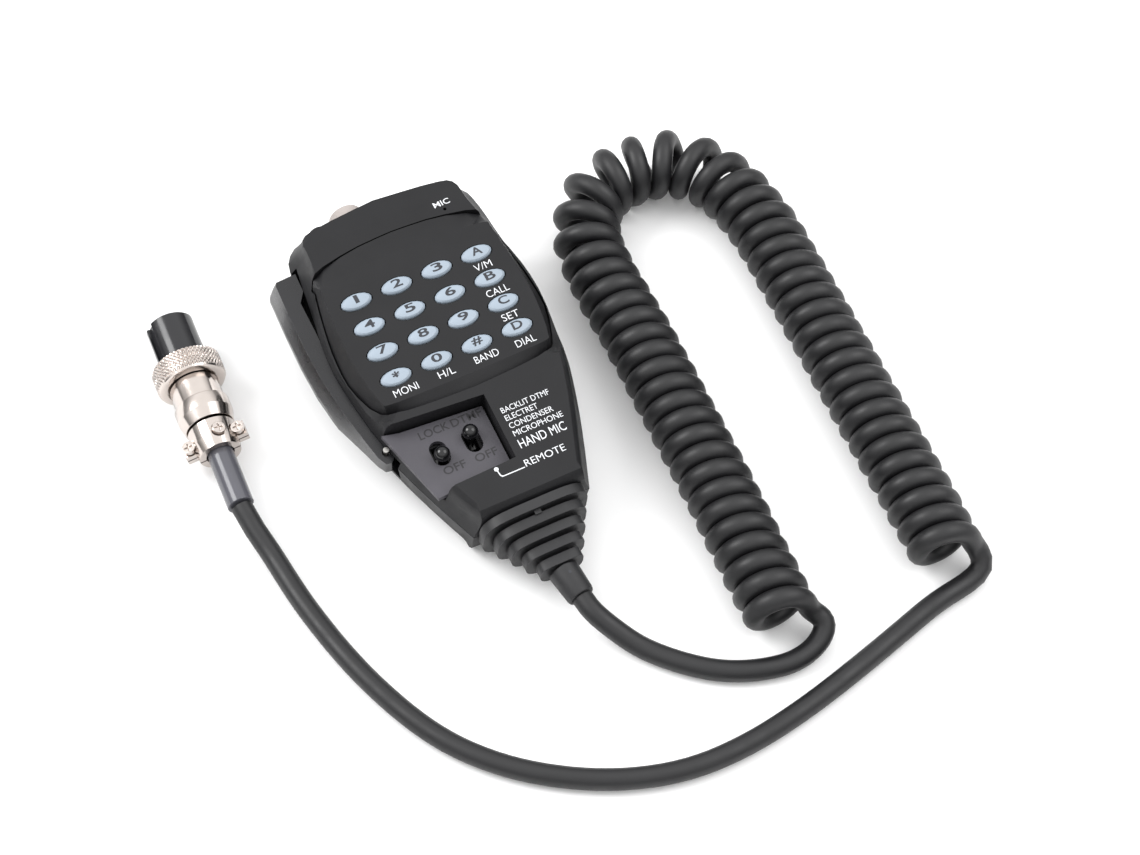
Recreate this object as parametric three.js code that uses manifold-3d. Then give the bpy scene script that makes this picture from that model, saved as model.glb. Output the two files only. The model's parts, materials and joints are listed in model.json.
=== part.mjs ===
// Hand microphone with a 16-key pad, a push-to-talk lever, a curly cord and a round 8-pin plug.
// Millimetres, +Z up. The microphone lies on its back with its top towards +Y, resting on its
// hanger stud and on the lower edge of its back. The cord lies on the same surface.
import * as THREE from 'three';
import { mergeVertices } from 'three/addons/utils/BufferGeometryUtils.js';
import Module from 'manifold-3d';

const wasm = await Module();
wasm.setup();

// ---- driving dimensions -------------------------------------------------------------------------
// Case frame: x to the right, y from the cord end (0) to the top, z = 0 on the keypad face and
// negative into the case.
const GAP = 0.3; // clearance between neighbouring pieces
const WALL = 2.2; // case wall
const PARTING_Z = -11; // where the front and the rear shell meet
const CASE_END_Y = 2; // end wall, beside the cord boot
const CASE_TOP_Y = 101; // top of the case on the parting plane
const FRONT_TOP_Y = 99.6; // top edge of the brow
const BROW_ARC_Y = 87.5; // middle of the arc under the brow
const BACK_Z = -25.5; // flat of the back, where the hanger stud sits
const STUD_Y = 62; // hanger stud centre
const STUD_RADIUS = 6.5;
const STUD_HEIGHT = 5.5;

const KEY_PITCH_X = 11.6;
const KEY_PITCH_Y = 8.15;
const KEY_ROW1_Y = 71.6; // centre of the top row of keys
const KEY_WIDTH = 8.6;
const KEY_HEIGHT = 4.5;
const KEY_TRAVEL = 0.8;

const RECESS_DEPTH = 5; // switch recess, below the face
const SLOT_X = [-15.4, -6.2]; // the two switch slots
const SLOT_Y = 24.8;
const SLOT_WIDTH = 4.6;
const SLOT_LENGTH = 7.2;
const SWITCH_TRAVEL = 2.6;

const LEVER_FRONT_Z = -9;
const LEVER_BACK_Z = -17.4;
const LEVER_FLARE = 1.8; // how far the lever's outer face slants outwards on its way back
const PIVOT = [-27, 32.6]; // push-to-talk pivot, x and y

const BOOT_RIBS = 5;
const BOOT_PITCH = 3.45;
const BOOT_RIB_LENGTH = 2.6;
const BOOT_TOP_Y = 1.6; // the first rib's face towards the case
const BOOT_PARTING_Z = -11.5;
const NECK_AXIS_Z = -12.4;
const NECK_END_Y = -23.8;

const CORD_DIAMETER = 5.7;
const COIL_DIAMETER = 19.9;
const COIL_AXIS_Z = 10;
const CORD_SIDES = 8;
const COIL_SIDES = 12;

const RING_RADIUS = 9.5; // coupling ring of the plug
const PLUG_PITCH_DEG = 2.5; // the plug's front is raised by this much
const PLUG_YAW_DEG = -4.4;

// The case is tilted because it stands on the stud's lower rim and on its heel, the lower edge of
// the back.
const HEEL_INSET = 6.5;
const HEEL_Y = CASE_END_Y + HEEL_INSET;
const HEEL_Z = BACK_Z + 0.77;
const STUD_BOTTOM_Z = BACK_Z - STUD_HEIGHT;
const STUD_RIM_Y = STUD_Y - STUD_RADIUS;
const TILT = Math.atan2(HEEL_Z - STUD_BOTTOM_Z, STUD_RIM_Y - HEEL_Y);
const LIFT = -(HEEL_Y * Math.sin(TILT) + HEEL_Z * Math.cos(TILT));
// The row's origin is under the middle of the microphone's own box.
const ORIGIN_X = -2.86;
const ORIGIN_Y = 41;

// ---- materials ----------------------------------------------------------------------------------
const finish = (color, roughness, metalness = 0) =>
  new THREE.MeshStandardMaterial({ color, roughness, metalness });
const CASE_BLACK = finish(0x2b2b2d, 0.62);
const LEVER_BLACK = finish(0x26262a, 0.35);
const PLATE_GREY = finish(0x4c4b50, 0.6);
const KNOB_BLACK = finish(0x0c0c0e, 0.12);
const KEY_BLUE = finish(0xa8b6c3, 0.5);
const KEY_PALE = finish(0xc7c3c2, 0.7);
const RUBBER = finish(0x2c2c2e, 0.75);
const BOARD_GREEN = finish(0x1f5a35, 0.5);
const PART_BLACK = finish(0x161618, 0.45);
const INSERT_BLACK = finish(0x17171a, 0.25);
const NICKEL = finish(0xd8d4d0, 0.2, 1);
const STEEL = finish(0xb9b7b4, 0.35, 1);
const SLEEVE_GREY = finish(0x4b4b50, 0.15);

// ---- solids -------------------------------------------------------------------------------------
function toSolid(geometry) {
  const plain = geometry.clone();
  plain.deleteAttribute('normal');
  plain.deleteAttribute('uv');
  const welded = mergeVertices(plain, 1e-4);
  return new wasm.Manifold(new wasm.Mesh({
    numProp: 3,
    vertProperties: Float32Array.from(welded.attributes.position.array),
    triVerts: Uint32Array.from(welded.index.array),
  }));
}

function toGeometry(solid) {
  const mesh = solid.getMesh();
  const geometry = new THREE.BufferGeometry();
  geometry.setAttribute('position', new THREE.BufferAttribute(mesh.vertProperties, 3));
  geometry.setIndex(new THREE.BufferAttribute(mesh.triVerts, 1));
  return geometry;
}

const join = (first, ...others) => others.reduce((sum, next) => sum.add(next), first);
const cut = (first, ...others) => others.reduce((rest, next) => rest.subtract(next), first);

function box(x0, x1, y0, y1, z0, z1) {
  const geometry = new THREE.BoxGeometry(x1 - x0, y1 - y0, z1 - z0);
  geometry.translate((x0 + x1) / 2, (y0 + y1) / 2, (z0 + z1) / 2);
  return toSolid(geometry);
}

// A round rod along x, y or z, from one end to the other.
function rod(axis, radius, from, to, centre, sides = 24) {
  const geometry = new THREE.CylinderGeometry(radius, radius, to - from, sides);
  if (axis === 'x') geometry.rotateZ(Math.PI / 2);
  if (axis === 'z') geometry.rotateX(Math.PI / 2);
  const middle = (from + to) / 2;
  const [u, v] = centre;
  if (axis === 'x') geometry.translate(middle, u, v);
  if (axis === 'y') geometry.translate(u, middle, v);
  if (axis === 'z') geometry.translate(u, v, middle);
  return toSolid(geometry);
}

// A solid of revolution about y from [radius, y] pairs that start and end on the axis.
const turned = (profile, sides = 32) =>
  toSolid(new THREE.LatheGeometry(profile.map(([r, y]) => new THREE.Vector2(r, y)), sides));

// A flat outline extruded along z.
function prism(outline, z0, z1) {
  const shape = new THREE.Shape(outline.map(([x, y]) => new THREE.Vector2(x, y)));
  const geometry = new THREE.ExtrudeGeometry(shape, { depth: z1 - z0, bevelEnabled: false });
  geometry.translate(0, 0, z0);
  return toSolid(geometry);
}

// A closed skin over rings of points: every ring has the same number of points, and the two end
// rings are closed by a fan around their middle.
function loft(rings) {
  const count = rings[0].length;
  const positions = rings.flat(2);
  const index = [];
  for (let k = 0; k < rings.length - 1; k += 1) {
    for (let i = 0; i < count; i += 1) {
      const a = k * count + i;
      const b = k * count + ((i + 1) % count);
      index.push(a, b, b + count, a, b + count, a + count);
    }
  }
  const closeWithFan = (ring, start, outwards) => {
    const middle = positions.length / 3;
    for (let axis = 0; axis < 3; axis += 1) {
      positions.push(ring.reduce((sum, point) => sum + point[axis], 0) / count);
    }
    for (let i = 0; i < count; i += 1) {
      const a = start + i;
      const b = start + ((i + 1) % count);
      index.push(...(outwards ? [a, b, middle] : [b, a, middle]));
    }
  };
  closeWithFan(rings[0], 0, false);
  closeWithFan(rings[rings.length - 1], (rings.length - 1) * count, true);
  const geometry = new THREE.BufferGeometry();
  geometry.setAttribute('position', new THREE.Float32BufferAttribute(positions, 3));
  geometry.setIndex(index);
  return toSolid(geometry);
}

// ---- outlines -----------------------------------------------------------------------------------
// Right-hand halves, from the cord end to the middle of the top, smoothed by a spline.
const WAIST = [[16.6, CASE_END_Y], [21.6, 15.3], [25.8, 28.2], [28.8, 40.5], [30.1, 57], [29.8, 67],
  [28.5, 81], [27.6, 90.5], [25.6, 96.9], [18.6, 100.2], [0, CASE_TOP_Y]];
const FRONT = [[14.6, CASE_END_Y], [18.6, 13], [22.6, 24], [26, 36], [28.9, 54], [28.4, 67], [25.4, 80],
  [23.4, 89], [22.3, 95.6], [17, 97.8], [0, FRONT_TOP_Y]];
const OUTLINE_STEPS = 26;

function halfOutline(controls, steps = OUTLINE_STEPS) {
  const curve = new THREE.SplineCurve(controls.map(([x, y]) => new THREE.Vector2(x, y)));
  return curve.getPoints(steps).map((p) => [p.x, p.y]);
}

// Both halves as one anticlockwise loop.
function fullOutline(controls, steps = OUTLINE_STEPS) {
  const right = halfOutline(controls, steps);
  const left = right.filter(([x]) => x > 0).reverse().map(([x, y]) => [-x, y]);
  return [...right, ...left];
}

const mix = (a, b, t) => a.map(([x, y], i) => [x + (b[i][0] - x) * t, y + (b[i][1] - y) * t]);
const at = (outline, z) => outline.map(([x, y]) => [x, y, z]);

// Moves every point of a loop inwards along its own normal.
function inset(outline, distance) {
  return outline.map((point, i) => {
    const before = outline[(i + outline.length - 1) % outline.length];
    const after = outline[(i + 1) % outline.length];
    const length = Math.hypot(after[0] - before[0], after[1] - before[1]);
    const nx = -(after[1] - before[1]) / length;
    const ny = (after[0] - before[0]) / length;
    return [point[0] + nx * distance, point[1] + ny * distance];
  });
}

const waist = fullOutline(WAIST);
const front = fullOutline(FRONT);

// The keypad plate's outline: a straight-sided barrel under the brow's arc.
const PLATE_RIM = [[0, 36.6], [12, 37.1], [21, 38.1], [24.6, 41], [28.1, 51], [28.3, 60], [27.4, 68],
  [25.3, 79.5], [23.9, 83.8], [12, 86.7], [0, BROW_ARC_Y]];
const PLATE_FACE = [[0, 40.2], [12, 40.3], [22.4, 40.6], [24, 42.2], [25.4, 50], [25.9, 59], [25.4, 68],
  [24.5, 77.4], [23.4, 79.6], [12, 80.6], [0, 81]];
const plateRim = fullOutline(PLATE_RIM, 24);
const plateFace = fullOutline(PLATE_FACE, 24);

// ---- case ---------------------------------------------------------------------------------------
const bootAnchorHole = () => rod('y', 5.2, CASE_END_Y - 1, CASE_END_Y + WALL + 1, [0, BOOT_PARTING_Z]);

// The slot in the left side that the lever moves in.
const leverSlot = () => box(-40, -23.2, PIVOT[1] - 4.6, 92, LEVER_BACK_Z - 0.5, LEVER_FRONT_Z + 0.4);

// The two openings in the top wall that the top keys move in.
const TOP_KEYS = [
  { name: 'up_key', x: -6.8, radius: 4.5, flange: 5.05, shoulder: 98.2, end: 104, material: KEY_PALE },
  { name: 'down_key', x: -15.6, radius: 2.6, flange: 3.1, shoulder: 97.2, end: 101.9, material: CASE_BLACK },
];
const TOP_KEY_Z = PARTING_Z;
const topKeyHoles = () => TOP_KEYS.flatMap(({ x, radius, flange, shoulder, end }) => [
  rod('y', radius + GAP, 90, end + 1, [x, TOP_KEY_Z], 24),
  rod('y', flange + GAP, 94, shoulder + GAP, [x, TOP_KEY_Z], 24),
]);

const SCREWS = [[-18.5, 91], [18.5, 91], [-14, 9], [14, 9]]; // case screws, from the back
const screwBoss = (x, y) => rod('z', 3.2, PARTING_Z + GAP / 2, -2.6, [x, y], 12);
const screwHole = (x, y) => rod('z', 1.6, -30, -4.8, [x, y], 10);

const MIC_PORT = [16.1, 88.1];

function frontShell() {
  const outer = loft([
    at(waist, PARTING_Z + GAP / 2),
    at(mix(waist, front, 0.33), -8.9),
    at(mix(waist, front, 0.62), -7),
    at(mix(waist, front, 0.84), -5.2),
    at(mix(waist, front, 0.96), -3.6),
    at(inset(front, 0.25), -2),
    at(inset(front, 0.75), -0.9),
    at(inset(front, 1.8), 0),
  ]);
  // Side view of the face: flat below the keypad, falling away over the brow.
  const side = prism([[-20, -12], [0, -12], [BROW_ARC_Y, -12], [110, -12], [110, -6], [FRONT_TOP_Y, -3],
    [91, -1.5], [BROW_ARC_Y - 5, -0.5], [KEY_ROW1_Y, 0], [-20, 0]], -40, 40);
  const sideSolid = side.rotate([90, 0, 90]);
  const hollow = loft([
    at(inset(waist, WALL), PARTING_Z),
    at(inset(mix(waist, front, 0.9), WALL), -4.2),
    at(inset(front, WALL + 2), -3.2),
  ]);
  const pocket = loft([at(inset(plateRim, -1.3 * GAP), -7.3), at(inset(plateRim, -1.3 * GAP), 5)]);
  const window = prism([[-20.5, 43], [20.5, 43], [20.5, 76.5], [-20.5, 76.5]], -12, 1);
  const ledge = loft([at(inset(plateRim, -1.2), -8.8), at(inset(plateRim, -1.2), -7.3)]);
  // Beside the plate the case's shoulders fall away, so that the plate's rim stands free.
  const shoulderDepth = ([x, y]) => 0.6 - 5.9 * THREE.MathUtils.smoothstep(Math.abs(x), 23, 29) * (y < 82 ? 1 : 0);
  const outside = inset(plateRim, -3);
  const shoulders = loft([outside.map((p) => [...p, shoulderDepth(p)]), at(outside, 4)]);
  const recess = prism([[-40, 12.4], [0.6, 13.6], [1, 33.2], [-22.5, 35.2], [-40, 38]], -7.2, 3);
  const recessTray = prism([[-40, 10.4], [2.8, 11.6], [3, 35.2], [-22.5, 37.2], [-40, 40]], -8.6, -3);
  const port = rod('z', 0.5, -6, 1, MIC_PORT, 8);
  const stemSlots = SLOT_X.map((x) => box(x - 1.5, x + 1.5, SLOT_Y - 3, SLOT_Y + 3, -10, -6));
  const shell = cut(outer.intersect(sideSolid), hollow);
  const floor = join(ledge, recessTray, ...SCREWS.map(([x, y]) => screwBoss(x, y))).intersect(outer);
  return cut(join(shell, floor), pocket, window, shoulders, recess, port, leverSlot(), bootAnchorHole(),
    ...stemSlots, ...topKeyHoles(), ...SCREWS.map(([x, y]) => screwHole(x, y)));
}

function rearShell() {
  const top = PARTING_Z - GAP / 2;
  const outer = loft([
    at(inset(waist, 11), BACK_Z),
    at(inset(waist, HEEL_INSET), HEEL_Z),
    at(inset(waist, 3), BACK_Z + 2.8),
    at(inset(waist, 1), BACK_Z + 6),
    at(waist, top),
  ]);
  const side = prism([[-20, -10], [-20, HEEL_Z], [HEEL_Y, HEEL_Z], [24, -24.95], [48, BACK_Z], [78, BACK_Z],
    [96, -23.6], [110, -21], [110, -10]], -40, 40).rotate([90, 0, 90]);
  const hollow = loft([
    at(inset(waist, 13), BACK_Z + WALL),
    at(inset(waist, 6.4), BACK_Z + WALL + 0.9),
    at(inset(waist, 3.4), BACK_Z + WALL + 3.6),
    at(inset(waist, WALL), top + 0.1),
  ]).intersect(side.translate([0, 0, WALL]));
  const posts = SCREWS.map(([x, y]) => rod('z', 3.2, BACK_Z + 1, top, [x, y], 12));
  const shell = join(cut(outer.intersect(side), hollow), ...posts.map((post) => post.intersect(outer.intersect(side))));
  const heads = SCREWS.map(([x, y]) => rod('z', 3, -30, -18.4, [x, y], 16));
  const studHole = rod('z', 2, -30, -20, [0, STUD_Y], 16);
  return cut(shell, leverSlot(), bootAnchorHole(), studHole, ...topKeyHoles(), ...heads,
    ...SCREWS.map(([x, y]) => screwHole(x, y)));
}

function keypadPlate() {
  const FACE_THICKNESS = 2.2;
  // The rim lies deepest at the sides, where the plate wraps over the case's shoulders.
  const rimDepth = ([x, y]) => {
    const sideways = Math.min(1, Math.abs(x) / 28);
    return -1 - 4.4 * sideways ** 6 - (y < 50 ? 0.9 : 0);
  };
  const body = loft([
    at(plateRim, -7),
    plateRim.map((p) => [p[0], p[1], rimDepth(p)]),
    at(plateFace, 0),
  ]);
  const underside = prism([[-23, 42.4], [23, 42.4], [23.4, 60], [22.8, 77.4], [-22.8, 77.4], [-23.4, 60]],
    -8, -FACE_THICKNESS);
  const holes = keyCentres().map(([x, y]) => oval(KEY_WIDTH + 2 * GAP, KEY_HEIGHT + 2 * GAP, -4, 2, [x, y]));
  return cut(body, underside, ...holes);
}

function oval(width, height, z0, z1, [x, y], sides = 20) {
  const geometry = new THREE.CylinderGeometry(0.5, 0.5, z1 - z0, sides);
  geometry.rotateX(Math.PI / 2);
  geometry.scale(width, height, 1);
  geometry.translate(x, y, (z0 + z1) / 2);
  return toSolid(geometry);
}

// ---- keys ---------------------------------------------------------------------------------------
const KEY_NAMES = ['1', '2', '3', 'a', '4', '5', '6', 'b', '7', '8', '9', 'c', 'star', '0', 'hash', 'd'];

function keyCentres() {
  return KEY_NAMES.map((_, i) => [
    ((i % 4) - 1.5) * KEY_PITCH_X,
    KEY_ROW1_Y - Math.floor(i / 4) * KEY_PITCH_Y,
  ]);
}

// An oval domed cap with a flange that holds it under the plate.
function keyCap() {
  const flange = 0.62; // flange radius, as a share of the oval's width
  const profile = [[0, -3.8], [flange, -3.8], [flange, -2.5], [0.5, -2.5], [0.5, 0.25], [0.42, 0.72],
    [0.24, 1], [0, 1.08]];
  const geometry = new THREE.LatheGeometry(profile.map(([r, y]) => new THREE.Vector2(r, y)), 16);
  geometry.rotateX(Math.PI / 2);
  geometry.scale(KEY_WIDTH, KEY_HEIGHT, 1);
  return toSolid(geometry);
}

// A round domed key that comes out of the top wall.
function topKey({ x, radius, flange, shoulder, end }) {
  return turned([[0, shoulder - 1.2], [flange, shoulder - 1.2], [flange, shoulder], [radius, shoulder],
    [radius, end - 1.1], [radius * 0.85, end - 0.5], [radius * 0.5, end - 0.1], [0, end]], 24)
    .translate([x, 0, TOP_KEY_Z]);
}

// ---- inside -------------------------------------------------------------------------------------
const keyMat = () => box(-22.4, 22.4, 42.8, 77, -7, -5);

function mainBoard() {
  const board = prism([[-12, 38.5], [12, 38.5], [22.5, 46], [22.5, 84], [-22.5, 84], [-22.5, 46]], -10.7, -9.1);
  return board;
}

const SWITCH_PLATE_TOP = -RECESS_DEPTH;

function switchPlate() {
  const plate = prism([[-27, 35.6], [-21.2, 13.4], [0, 14.2], [0.3, 32.6], [-22.5, 34.5]],
    SWITCH_PLATE_TOP - 1.6, SWITCH_PLATE_TOP);
  return cut(plate, ...SLOT_X.map((x) => slotSolid(x, -8, 0)));
}

// A round-ended slot along y.
function slotSolid(x, z0, z1) {
  const half = (SLOT_LENGTH - SLOT_WIDTH) / 2;
  return join(
    box(x - SLOT_WIDTH / 2, x + SLOT_WIDTH / 2, SLOT_Y - half, SLOT_Y + half, z0, z1),
    rod('z', SLOT_WIDTH / 2, z0, z1, [x, SLOT_Y - half], 20),
    rod('z', SLOT_WIDTH / 2, z0, z1, [x, SLOT_Y + half], 20),
  );
}

// A slide switch's housing, open on top where its knob moves.
function switchBody(x) {
  const housing = box(x - 4, x + 4, SLOT_Y - 6, SLOT_Y + 6, -16, -9);
  return cut(housing, box(x - 2.6, x + 2.6, SLOT_Y - 4.4, SLOT_Y + 4.4, -12, -8));
}

// A ball on a stem, with a foot that slides in the switch's housing.
function switchKnob(x, y) {
  const ball = new THREE.SphereGeometry(2.15, 16, 12);
  ball.rotateX(Math.PI / 2);
  ball.translate(x, y, -2.8);
  return join(
    toSolid(ball),
    rod('z', 1.1, -10, -3.4, [x, y], 12),
    box(x - 2, x + 2, y - 2, y + 2, -11.4, -9.8),
  );
}

const CAPSULE = [8.5, 92.1]; // microphone capsule, x and y
const micCapsule = () => rod('z', 2.3, -8.6, -5.8, CAPSULE, 20);

function micHolder() {
  return cut(rod('z', 3.3, -8.8, -4.6, CAPSULE, 20), rod('z', 2.3 + GAP, -10, -5.4, CAPSULE, 20),
    rod('z', 0.6, -6, -4, CAPSULE, 8));
}

// ---- push-to-talk -------------------------------------------------------------------------------
const LEVER_OUTER = [[-26.9, 29.2], [-28.4, 29.6], [-29.5, 32], [-30.6, 38], [-32.2, 47.4], [-33.3, 58],
  [-33.6, 68], [-33.3, 80], [-32.8, 89.4], [-32.2, 90.4], [-26.6, 90.7]];
const LEVER_INNER = [[-26.6, 90.7], [-26.8, 85], [-28.9, 82], [-28.9, 72], [-29, 58], [-28, 47], [-26.6, 40],
  [-25.4, 36], [-25.6, 30.4], [-26.9, 29.2]];

function pttLever() {
  // The flare grows from nothing at the pivot to its full width a third of the way along.
  const flareAt = (y) => LEVER_FLARE * THREE.MathUtils.smoothstep(y, 30, 52);
  const section = (share) => [
    ...LEVER_OUTER.map(([x, y]) => [x - share * flareAt(y), y + (y > 88 ? 0.25 * share * LEVER_FLARE : 0)]),
    [-24, 90.7], [-24, 29.2],
  ].reverse();
  const block = loft([
    at(section(1), LEVER_BACK_Z),
    at(section(1), -15.2),
    at(section(0.5), -11.6),
    at(section(0.12), -9.6),
    at(section(0), LEVER_FRONT_Z),
  ]);
  const inside = prism([[-26.6, 95], ...LEVER_INNER, [-26.9, 20], [-10, 20], [-10, 95]], -20, -5);
  const heel = prism([[20, -30], [20, -13.6], [29, -13.8], [50, LEVER_BACK_Z], [50, -30]], -40, 0).rotate([90, 0, 90]);
  const rib = box(-29.4, -27.4, 58.4, 61.6, -15.4, -12.4);
  return cut(join(cut(block, inside, heel), rib), rod('z', 1.1, -20, -6, PIVOT, 16));
}

const pttPin = () => rod('z', 0.8, LEVER_BACK_Z - 1.6, LEVER_FRONT_Z + 1.6, PIVOT, 16);
const pttSocket = () => rod('z', 1.1, LEVER_BACK_Z - 2, LEVER_FRONT_Z + 2, PIVOT, 16);
const pttSwitch = () => cut(box(-23.6, -17.6, 57, 63, -16.4, -11.6), rod('x', 1.3, -24, -20.4, [60, -13.9], 12));
const pttPlunger = () => rod('x', 1, -27.1, -22.6, [60, -13.9], 12);
const pttLeaf = () => box(-25.6, -25.2, 72, 80, -15, -12);

// ---- back ---------------------------------------------------------------------------------------
function hangerStud() {
  const stud = turned([[0, 0], [3.6, 0], [3.6, 2.4], [STUD_RADIUS, 3.2], [STUD_RADIUS, STUD_HEIGHT - 0.5],
    [STUD_RADIUS - 0.5, STUD_HEIGHT], [0, STUD_HEIGHT]], 32);
  return stud.rotate([-90, 0, 0]).translate([0, STUD_Y, BACK_Z - GAP / 3]);
}

// The screw that holds the stud, seen only from inside the case.
function studScrew() {
  return join(rod('z', 1.5, BACK_Z + 0.4, BACK_Z + 3.4, [0, STUD_Y], 12),
    rod('z', 3, BACK_Z + 2.6, BACK_Z + 4.2, [0, STUD_Y], 16));
}

function caseScrew(x, y) {
  const head = rod('z', 2.6, -20.6, -18.8, [x, y], 16);
  const drive = join(box(x - 1.6, x + 1.6, y - 0.3, y + 0.3, -21, -19.8),
    box(x - 0.3, x + 0.3, y - 1.6, y + 1.6, -21, -19.8));
  return cut(join(head, rod('z', 1.2, -19, -6, [x, y], 10)), drive);
}

// ---- cord boot ----------------------------------------------------------------------------------
// Rib k counts from the case. Each is smaller than the one before, boxy in front and rounder behind.
function bootSection(k, shrink = 0) {
  const share = k / (BOOT_RIBS - 1);
  return {
    middle: -0.5 + 0.8 * share,
    halfWidth: 14.9 - 8.8 * share - shrink,
    frontDepth: 10.3 - 6.7 * share - shrink,
    backDepth: 8.3 - 2.9 * share - shrink,
  };
}

function bootSlab({ middle, halfWidth, frontDepth, backDepth }, top, length) {
  const points = [];
  const COUNT = 28;
  for (let i = 0; i < COUNT; i += 1) {
    const angle = ((i + 0.5) / COUNT) * 2 * Math.PI;
    const c = Math.cos(angle);
    const s = Math.sin(angle);
    const power = s > 0 ? 0.5 : 0.75;
    const depth = s > 0 ? frontDepth : backDepth;
    points.push([middle + halfWidth * Math.sign(c) * Math.abs(c) ** power, depth * Math.sign(s) * Math.abs(s) ** power]);
  }
  return prism(points, 0, length).rotate([90, 0, 0]).translate([0, top, BOOT_PARTING_Z]);
}

const ribTop = (k) => BOOT_TOP_Y - k * BOOT_PITCH;

function cordBoot() {
  let boot = box(-1.4, 0.4, ribTop(1) - 0.3, ribTop(0) - 2, -8, -2.4); // nub in the first groove
  for (let k = 0; k < BOOT_RIBS; k += 1) {
    boot = boot.add(bootSlab(bootSection(k), ribTop(k), BOOT_RIB_LENGTH));
    if (k < BOOT_RIBS - 1) {
      boot = boot.add(bootSlab(bootSection(k + 1, 2.4), ribTop(k) - 1, BOOT_PITCH));
    }
  }
  const spigot = rod('y', 4.9, CASE_END_Y - 1, CASE_END_Y + WALL + 2.4, [0, BOOT_PARTING_Z], 24);
  const flange = rod('y', 7, CASE_END_Y + WALL + 1.4, CASE_END_Y + WALL + 3, [0, BOOT_PARTING_Z], 24);
  return join(boot, spigot, flange);
}

const BOOT_END_Y = ribTop(BOOT_RIBS - 1) - BOOT_RIB_LENGTH;

// The tapered sleeve between the boot and the cord, leaning a little to the right.
const NECK_LEAN = THREE.MathUtils.degToRad(7);
const NECK_START_X = 0.4;
const NECK_LENGTH = (BOOT_END_Y - GAP - NECK_END_Y) / Math.cos(NECK_LEAN);

function cordRelief() {
  const sleeve = turned([[0, -NECK_LENGTH], [3.5, -NECK_LENGTH], [3.75, 1 - NECK_LENGTH], [4.1, -1.4], [4.2, 0],
    [0, 0]], 24);
  return cut(sleeve, box(-9, 9, 0, 9, -9, 9).rotate([0, 0, -THREE.MathUtils.radToDeg(NECK_LEAN)]))
    .rotate([0, 0, THREE.MathUtils.radToDeg(NECK_LEAN)])
    .translate([NECK_START_X, BOOT_END_Y - GAP, NECK_AXIS_Z]);
}

// ---- plug ---------------------------------------------------------------------------------------
// Turned about y, with the mating face at y = 0 and the cord towards -y.
const PLUG = { ringFront: -13.7, ringBack: -20.6, bandFront: -27.6, bandBack: -31.4, barrelEnd: -34.7,
  clampFront: -35.4, clampEnd: -43.3, sleeveEnd: -59.8 };

function plugInsert() {
  const body = turned([[0, -22], [5.6, -22], [5.6, -14.6], [6.2, -14.6], [6.5, -14.2], [6.5, -0.4], [6.1, 0], [0, 0]], 36);
  const keyway = box(-1.5, 1.5, 5.3, 8, -14, 1).rotate([-90, 0, 0]).rotate([0, 118, 0]);
  const contacts = [rod('y', 0.8, -6, 1, [0, 0], 10)];
  for (let i = 0; i < 7; i += 1) {
    const angle = (i / 7) * 2 * Math.PI;
    contacts.push(rod('y', 0.8, -6, 1, [4 * Math.cos(angle), 4 * Math.sin(angle)], 10));
  }
  return cut(body, keyway, ...contacts);
}

function couplingRing() {
  const { ringFront, ringBack } = PLUG;
  const outer = turned([[0, ringBack], [8.3, ringBack], [RING_RADIUS, ringBack + 0.8], [RING_RADIUS, ringFront - 0.6],
    [RING_RADIUS - 0.6, ringFront], [0, ringFront]], 48);
  return cut(outer, rod('y', 7.15, ringBack - 1, ringFront + 1, [0, 0], 36),
    rod('y', 8, ringBack + 1.4, ringFront + 1, [0, 0], 36));
}

function plugBarrel() {
  const { bandFront, bandBack, barrelEnd } = PLUG;
  const outer = turned([[0, barrelEnd], [6.65, barrelEnd], [7.5, bandBack], [7.5, bandFront], [6.75, bandFront + 0.1],
    [6.75, -15], [0, -15]], 40);
  return cut(outer, rod('y', 5.9, barrelEnd + 2, -10, [0, 0], 32), rod('y', 4.2, -40, -20, [0, 0], 20));
}

const CLAMP_SPLIT_DEG = -10; // turn of the clamp's split about the plug's axis
const TOP_SCREW_DEG = 22; // turn of the top screw about the same axis
const EAR_X = 6.9;
const EAR_Y = (PLUG.clampFront + PLUG.clampEnd) / 2;

// One half of the cord clamp; side is +1 for the half above the split.
function clampHalf(side) {
  const { clampFront, clampEnd } = PLUG;
  const collar = turned([[0, clampEnd], [5.7, clampEnd], [6.4, clampEnd + 3.5], [6.4, clampFront], [0, clampFront]], 32);
  const ears = box(-EAR_X - 1.8, EAR_X + 1.8, EAR_Y - 2, EAR_Y + 2, -1.7, 1.7);
  const whole = cut(join(collar, ears), rod('y', 3.9, clampEnd - 1, clampFront + 1, [0, 0], 24),
    ...[-1, 1].map((x) => rod('z', 1.15, -12, 12, [x * EAR_X, EAR_Y], 12)));
  const seats = side > 0
    ? [...[-1, 1].map((x) => rod('z', 2.05, 1.7, 12, [x * EAR_X, EAR_Y], 16)),
      rod('z', 2.05, 5.6, 12, [0, EAR_Y], 16).rotate([0, TOP_SCREW_DEG, 0]),
      rod('z', 1.15, 0, 12, [0, EAR_Y], 12).rotate([0, TOP_SCREW_DEG, 0])]
    : [];
  const keep = side > 0 ? box(-12, 12, -50, -30, 0.2, 12) : box(-12, 12, -50, -30, -12, -0.2);
  return cut(whole, ...seats).intersect(keep);
}

// A cross-slotted screw along z, head up, seated at the given height.
function crossScrew(x, seat, shankEnd) {
  const head = rod('z', 1.75, seat, seat + 1.4, [x, EAR_Y], 16);
  const shank = rod('z', 0.85, shankEnd, seat + 0.2, [x, EAR_Y], 12);
  const top = seat + 0.8;
  const cross = join(box(x - 1.1, x + 1.1, EAR_Y - 0.2, EAR_Y + 0.2, top, top + 1),
    box(x - 0.2, x + 0.2, EAR_Y - 1.1, EAR_Y + 1.1, top, top + 1));
  return cut(join(head, shank), cross);
}

const plugSleeve = () => rod('y', 3.55, PLUG.sleeveEnd, PLUG.barrelEnd - 0.5, [0, 0], 24);

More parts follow.
